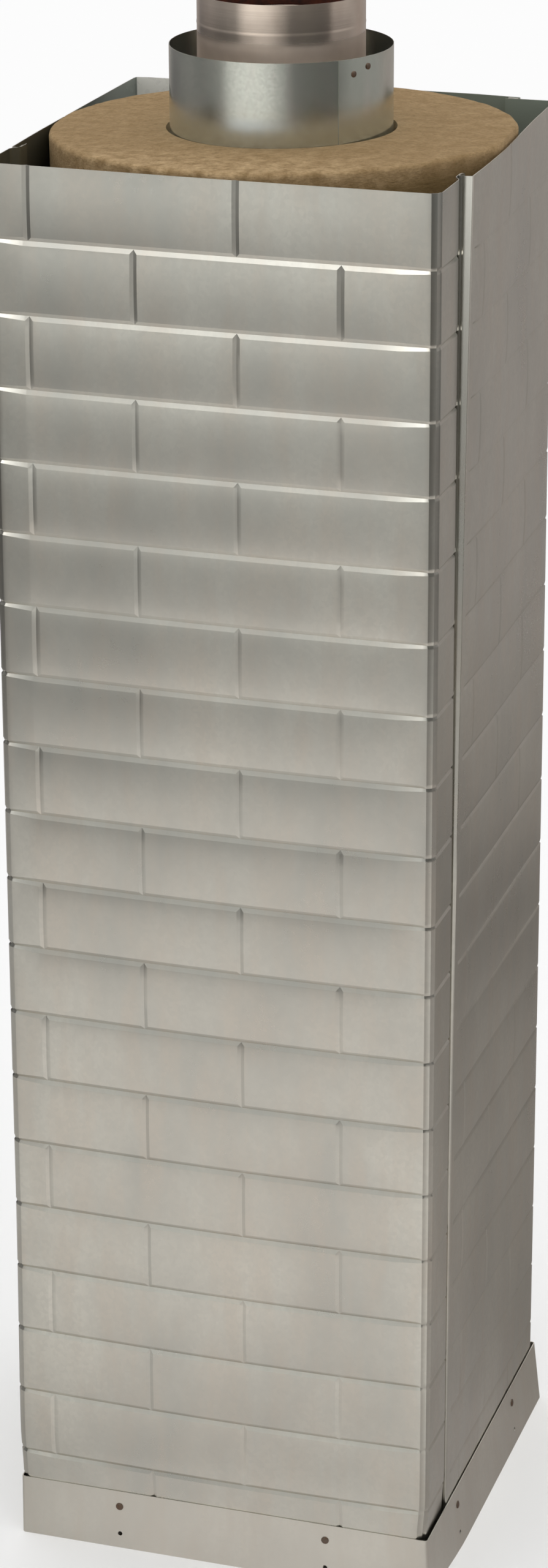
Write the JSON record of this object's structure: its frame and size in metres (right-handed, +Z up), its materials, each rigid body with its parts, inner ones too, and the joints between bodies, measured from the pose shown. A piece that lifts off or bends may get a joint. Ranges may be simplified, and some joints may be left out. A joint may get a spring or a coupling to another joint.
{
  "type": "chimney extension",
  "caption": "Square galvanised sheet chimney casing pressed with a brick pattern, filled with mineral wool round a sleeved flue that stands out of the top.",
  "frame": {"origin": "centre of the base frame's underside, on the floor", "axes": "+Z up along the flue; front face towards -Y"},
  "size_m": [0.493, 0.493, 1.78],
  "materials": {
    "casing_sheet": "galvanised, satin, with faint spangle",
    "base_sheet": "galvanised, matt",
    "rivets": "dulled",
    "mineral_wool": "matt mineral wool, sawn",
    "sleeve_sheet": "galvanised, satin",
    "liner_sheet": "stainless, bright rolled"
  },
  "bodies": {
    "root": {"front_panel": "casing_sheet", "right_panel": "casing_sheet", "back_panel": "casing_sheet", "left_panel": "casing_sheet", "base_frame": "base_sheet", "insulation": "mineral_wool", "outer_sleeve": "sleeve_sheet", "flue_liner": "liner_sheet", "lower_spacer": "liner_sheet", "upper_spacer": "liner_sheet"}
  },
  "joints": []
}
